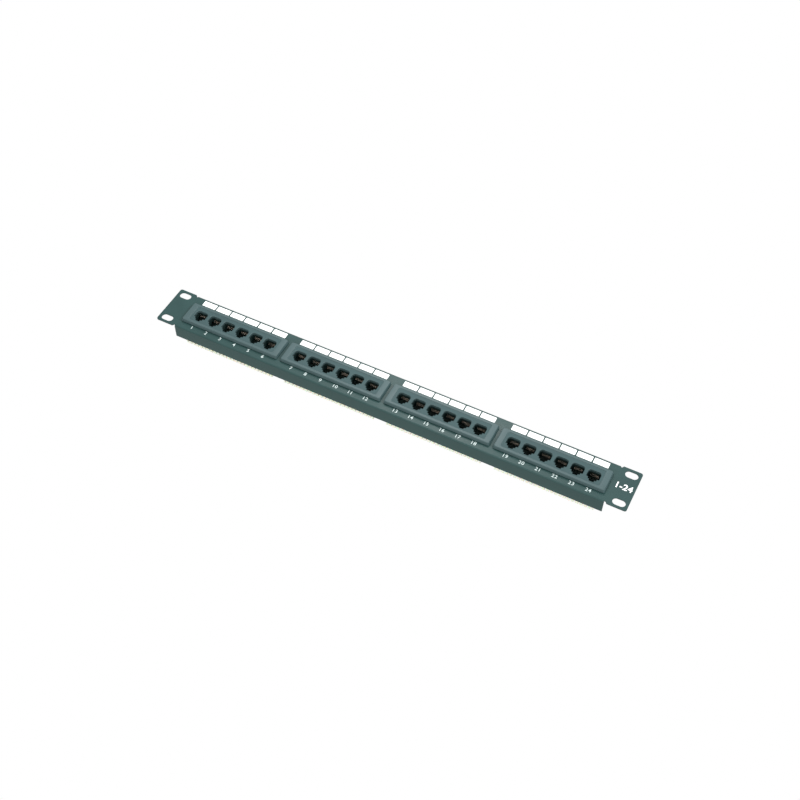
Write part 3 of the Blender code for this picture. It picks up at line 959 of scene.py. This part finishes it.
def idc_mesh(material):
    """Base with a row of pillars that come to a point, one wire slot between each two."""
    half_w, half_h = IDC_SLOTS / 2 * IDC_PITCH, (IDC_HIGH.z - IDC_LOW.z) / 2
    shoulder = IDC_HIGH.y - IDC_POINT
    bm = bmesh.new()
    feet = []
    for pillar in range(IDC_SLOTS + 1):
        cx = pillar * IDC_PITCH - half_w
        reach = (IDC_PITCH - IDC_SLOT_W) / 2
        left, right = max(cx - reach, -half_w), min(cx + reach, half_w)
        tip_left, tip_right = max(cx - IDC_TIP_W / 2, -half_w), min(cx + IDC_TIP_W / 2, half_w)
        tip_h = half_h - IDC_SIDE_SLOPE
        rings = [ring(bm, box(left, right, -half_h, half_h), y) for y in (IDC_FLOOR, shoulder)]
        rings.append(ring(bm, box(tip_left, tip_right, -tip_h, tip_h), IDC_HIGH.y))
        bridge(bm, rings[0], rings[1])
        bridge(bm, rings[1], rings[2])
        bm.faces.new(rings[2])
        feet.append(rings[0])
    for here, after in zip(feet, feet[1:]):
        bm.faces.new((here[0], here[3], after[2], after[1]))
    base = ring(bm, box(-half_w, half_w, -half_h, half_h), IDC_LOW.y)
    bm.faces.new(base)
    upper = [vert for foot in feet for vert in (foot[1], foot[0])]
    lower = [vert for foot in feet for vert in (foot[2], foot[3])]
    bm.faces.new([base[1], *upper, base[0]])
    bm.faces.new([base[2], *lower, base[3]])
    bm.faces.new((base[1], base[2], feet[0][2], feet[0][1]))
    bm.faces.new((base[0], base[3], feet[-1][3], feet[-1][0]))
    return finish_mesh(bm, "idc_block", material)


def blade_mesh(material):
    """Two tinned prongs in each slot, with a slit between them that bites the wire."""
    bm = bmesh.new()
    for x in slot_places():
        for side in (-1, 1):
            wall = side * IDC_SLOT_W / 2
            outer, inner, top = (
                x + wall * PRONG_SINK,
                x + wall - side * PRONG_W,
                x + wall - side * PRONG_W * PRONG_TAPER,
            )
            levels = [(inner, IDC_FLOOR - SUNK), (inner, PRONG_TOP - PRONG_T), (top, PRONG_TOP)]
            rings = []
            for edge, y in levels:
                low, high = sorted((outer, edge))
                rings.append(ring(bm, box(low, high, -PRONG_T / 2, PRONG_T / 2), y))
            loft(bm, rings)
    return finish_mesh(bm, "idc_blades", material)


class MakePunchDownBlocks(bpy.types.Operator):
    """Makes the two rows of punch-down blocks behind each board, with their blades"""

    bl_idname = "patch_panel.punch_down_blocks"
    bl_label = "Punch-down blocks"

    def execute(self, context):
        body = idc_mesh(use_material(ivory_polycarbonate))
        blades = blade_mesh(use_material(bright_tin))
        height = (IDC_LOW.z + IDC_HIGH.z) / 2
        for n, x in enumerate(MODULE_X, 1):
            for row, z in (("upper", height), ("lower", -height)):
                name, place = f"{n}_{row}", (x, 0.0, z)
                node = f"module_{n}_idc_block_{row}"
                piece = add_piece(f"idc_block_{name}", body, place, stands_for=node)
                round_edges(piece, IDC_EDGE_R, segments=1, limit=30.0)
                add_piece(f"idc_blades_{name}", blades, place)
        return {"FINISHED"}


# ------------------------------------------------------------------ screws


def screw_mesh(material):
    """Pan-head screw along Y with a cross recess, from its tip to its crown."""
    under, crown = SCREW_HIGH.y - SCREW_HEAD_H, SCREW_HIGH.y
    edge = [(SCREW_R, under, 0.0), (SCREW_HEAD_R, under, SCREW_EDGE_R)]
    edge += [(SCREW_HEAD_R, crown, SCREW_DOME_R), (SCREW_CROWN_R, crown, 0.0)]
    tip = [(SCREW_POINT_R, SCREW_LOW.y), (SCREW_R, SCREW_LOW.y + SCREW_POINT_H)]
    bm = bmesh.new()
    rings = [ring(bm, circle(0.0, 0.0, r), y) for r, y in tip + rounded(edge, 5)]
    for near, far in zip(rings, rings[1:]):
        bridge(bm, near, far)
    bm.faces.new(rings[0])
    arm, half = CROSS_ARM, CROSS_HALF_W
    cross = [(arm, half), (half, half), (half, arm), (-half, arm), (-half, half), (-arm, half)]
    cross += [(-x, -z) for x, z in cross]
    top = ring(bm, cross, crown)
    floor = ring(bm, [(x * CROSS_TAPER, z * CROSS_TAPER) for x, z in cross], crown - CROSS_DEPTH)
    bridge(bm, top, floor)
    fill(bm, floor)
    fill(bm, rings[-1], top)
    return finish_mesh(bm, "pan_head_screw", material)


class MakeScrews(bpy.types.Operator):
    """Makes the screws that hold each board and housing to its bezel"""

    bl_idname = "patch_panel.screws"
    bl_label = "Screws"

    def execute(self, context):
        mesh = screw_mesh(use_material(bright_zinc))
        for n, cx in enumerate(MODULE_X, 1):
            for side, (x, z) in zip(("left", "right"), screw_places()):
                node, place = f"module_{n}_screw_{side}", (cx + x, 0.0, z)
                add_piece(f"screw_{n}_{side}", mesh, place, stands_for=node)
        return {"FINISHED"}


# ------------------------------------------------------------------ print


def text_mesh(text, height, spacing, weight, ink):
    """Bold text as a thin body that faces the front, centred on X and standing on z 0."""
    curve = bpy.data.curves.new("lettering", "FONT")
    curve.body = text
    curve.align_x = "CENTER"
    curve.space_character = spacing
    curve.size = 1.0
    lettering = bpy.data.objects.new("lettering", curve)
    bpy.context.scene.collection.objects.link(lettering)
    bpy.context.view_layer.update()
    curve.size = height / DIGIT_SHARE
    curve.offset = weight
    curve.extrude = (ink + SUNK) / 2
    bpy.context.view_layer.update()
    evaluated = lettering.evaluated_get(bpy.context.evaluated_depsgraph_get())
    mesh = bpy.data.meshes.new_from_object(evaluated)
    upright = Matrix.Rotation(math.pi / 2, 4, "X")
    mesh.transform(Matrix.Translation((0.0, (SUNK - ink) / 2, 0.0)) @ upright)
    bpy.data.objects.remove(lettering)
    bpy.data.curves.remove(curve)
    return mesh


class MakePrint(bpy.types.Operator):
    """Prints the write-on boxes, the port numbers and the range mark on the coat"""

    bl_idname = "patch_panel.print"
    bl_label = "Screen print"

    def execute(self, context):
        sizes, ink = context.scene.panel_sizes, use_material(screen_ink)
        places = [(i - (PORTS - 1) / 2) * sizes.box_pitch for i in range(PORTS)]
        half = (sizes.box_pitch - sizes.box_gap) / 2
        bm = bmesh.new()
        for cx in places:
            outline = box(cx - half, cx + half, sizes.box_low, sizes.box_high, BOX_CORNER_R)
            block(bm, (0.0, FACE_Y - sizes.ink, 0.0), (0.0, FACE_Y + SUNK, 0.0), outline)
        boxes = finish_mesh(bm, "write_on_boxes", ink)
        for n, x in enumerate(MODULE_X, 1):
            add_piece(f"write_on_boxes_{n}", boxes, (x, 0.0, 0.0))
            bm = bmesh.new()
            for port, cx in enumerate(places, 1 + (n - 1) * PORTS):
                height = sizes.digit_height
                digits = text_mesh(str(port), height, DIGIT_SPACING, DIGIT_WEIGHT, sizes.ink)
                digits.transform(Matrix.Translation((cx, FACE_Y, sizes.digit_low)))
                bm.from_mesh(digits)
                bpy.data.meshes.remove(digits)
            numbers = finish_mesh(bm, "port_numbers", use_material(thin_screen_ink))
            add_piece(f"port_numbers_{n}", numbers, (x, 0.0, 0.0))
        mark_text = context.scene.panel_colours.mark
        mark = text_mesh(mark_text, sizes.mark_height, MARK_SPACING, MARK_WEIGHT, sizes.ink)
        mark.materials.append(ink)
        place = (sizes.mark_x, FACE_Y, sizes.mark_low)
        add_piece("range_mark", mark, place)
        return {"FINISHED"}


# ------------------------------------------------------------------ stage


def add_light(name, location, target, size, power):
    """A disc light, hidden from the camera, that points from its place to a target."""
    light = bpy.data.lights.new(name, "AREA")
    light.shape = "DISK"
    light.size = size
    light.energy = power
    lamp = bpy.data.objects.new(name, light)
    lamp.location = location
    lamp.visible_camera = False
    lamp.rotation_euler = (Vector(target) - Vector(location)).to_track_quat("-Z", "Y").to_euler()
    bpy.context.scene.collection.objects.link(lamp)


class MakeStage(bpy.types.Operator):
    """Adds the pale floor, the white room, the soft lights and the camera"""

    bl_idname = "patch_panel.stage"
    bl_label = "Stage"

    def execute(self, context):
        bm = bmesh.new()
        bmesh.ops.create_grid(bm, x_segments=8, y_segments=8, size=FLOOR_SIZE)
        floor = bpy.data.objects.new("floor", finish_mesh(bm, "floor", use_material(studio_paper)))
        floor.location.z = FLOOR_Z
        context.scene.collection.objects.link(floor)
        world = bpy.data.worlds.new("white_room")
        world.use_nodes = True
        world.node_tree.nodes["Background"].inputs["Color"].default_value = WHITE
        context.scene.world = world
        context.scene.view_settings.view_transform = "Standard"
        for light in LIGHTS:
            add_light(*light)
        camera_data = bpy.data.cameras.new("camera")
        camera_data.lens = CAMERA_LENS
        camera_data.sensor_width = CAMERA_SENSOR
        camera = bpy.data.objects.new("camera", camera_data)
        camera.location = CAMERA_PLACE
        camera.rotation_euler = [math.radians(turn) for turn in CAMERA_TURNS]
        context.scene.collection.objects.link(camera)
        context.scene.camera = camera
        return {"FINISHED"}


# ------------------------------------------------------------------ add-on

OPERATORS = (
    MakeSteelFront,
    MakeBezels,
    MakeJackHousings,
    MakeContacts,
    MakeCircuitBoards,
    MakePunchDownBlocks,
    MakeScrews,
    MakePrint,
    MakeStage,
)


class PatchPanelSidebar(bpy.types.Panel):
    """Lists the pieces and the settings that they read"""

    bl_idname = "VIEW3D_PT_patch_panel"
    bl_label = "Patch Panel"
    bl_space_type = "VIEW_3D"
    bl_region_type = "UI"
    bl_category = "Patch Panel"

    def draw(self, context):
        for operator in OPERATORS:
            self.layout.operator(operator.bl_idname)
        for group in (context.scene.panel_sizes, context.scene.panel_colours):
            for name in group.__annotations__:
                self.layout.prop(group, name)


CLASSES = (PanelSizes, PanelColours, *OPERATORS, PatchPanelSidebar)


def register():
    for cls in CLASSES:
        bpy.utils.register_class(cls)
    bpy.types.Scene.panel_sizes = PointerProperty(type=PanelSizes)
    bpy.types.Scene.panel_colours = PointerProperty(type=PanelColours)


def unregister():
    del bpy.types.Scene.panel_colours
    del bpy.types.Scene.panel_sizes
    for cls in reversed(CLASSES):
        bpy.utils.unregister_class(cls)


def main():
    register()
    for operator in OPERATORS:
        group, name = operator.bl_idname.split(".")
        getattr(getattr(bpy.ops, group), name)()


if __name__ == "__main__":
    main()
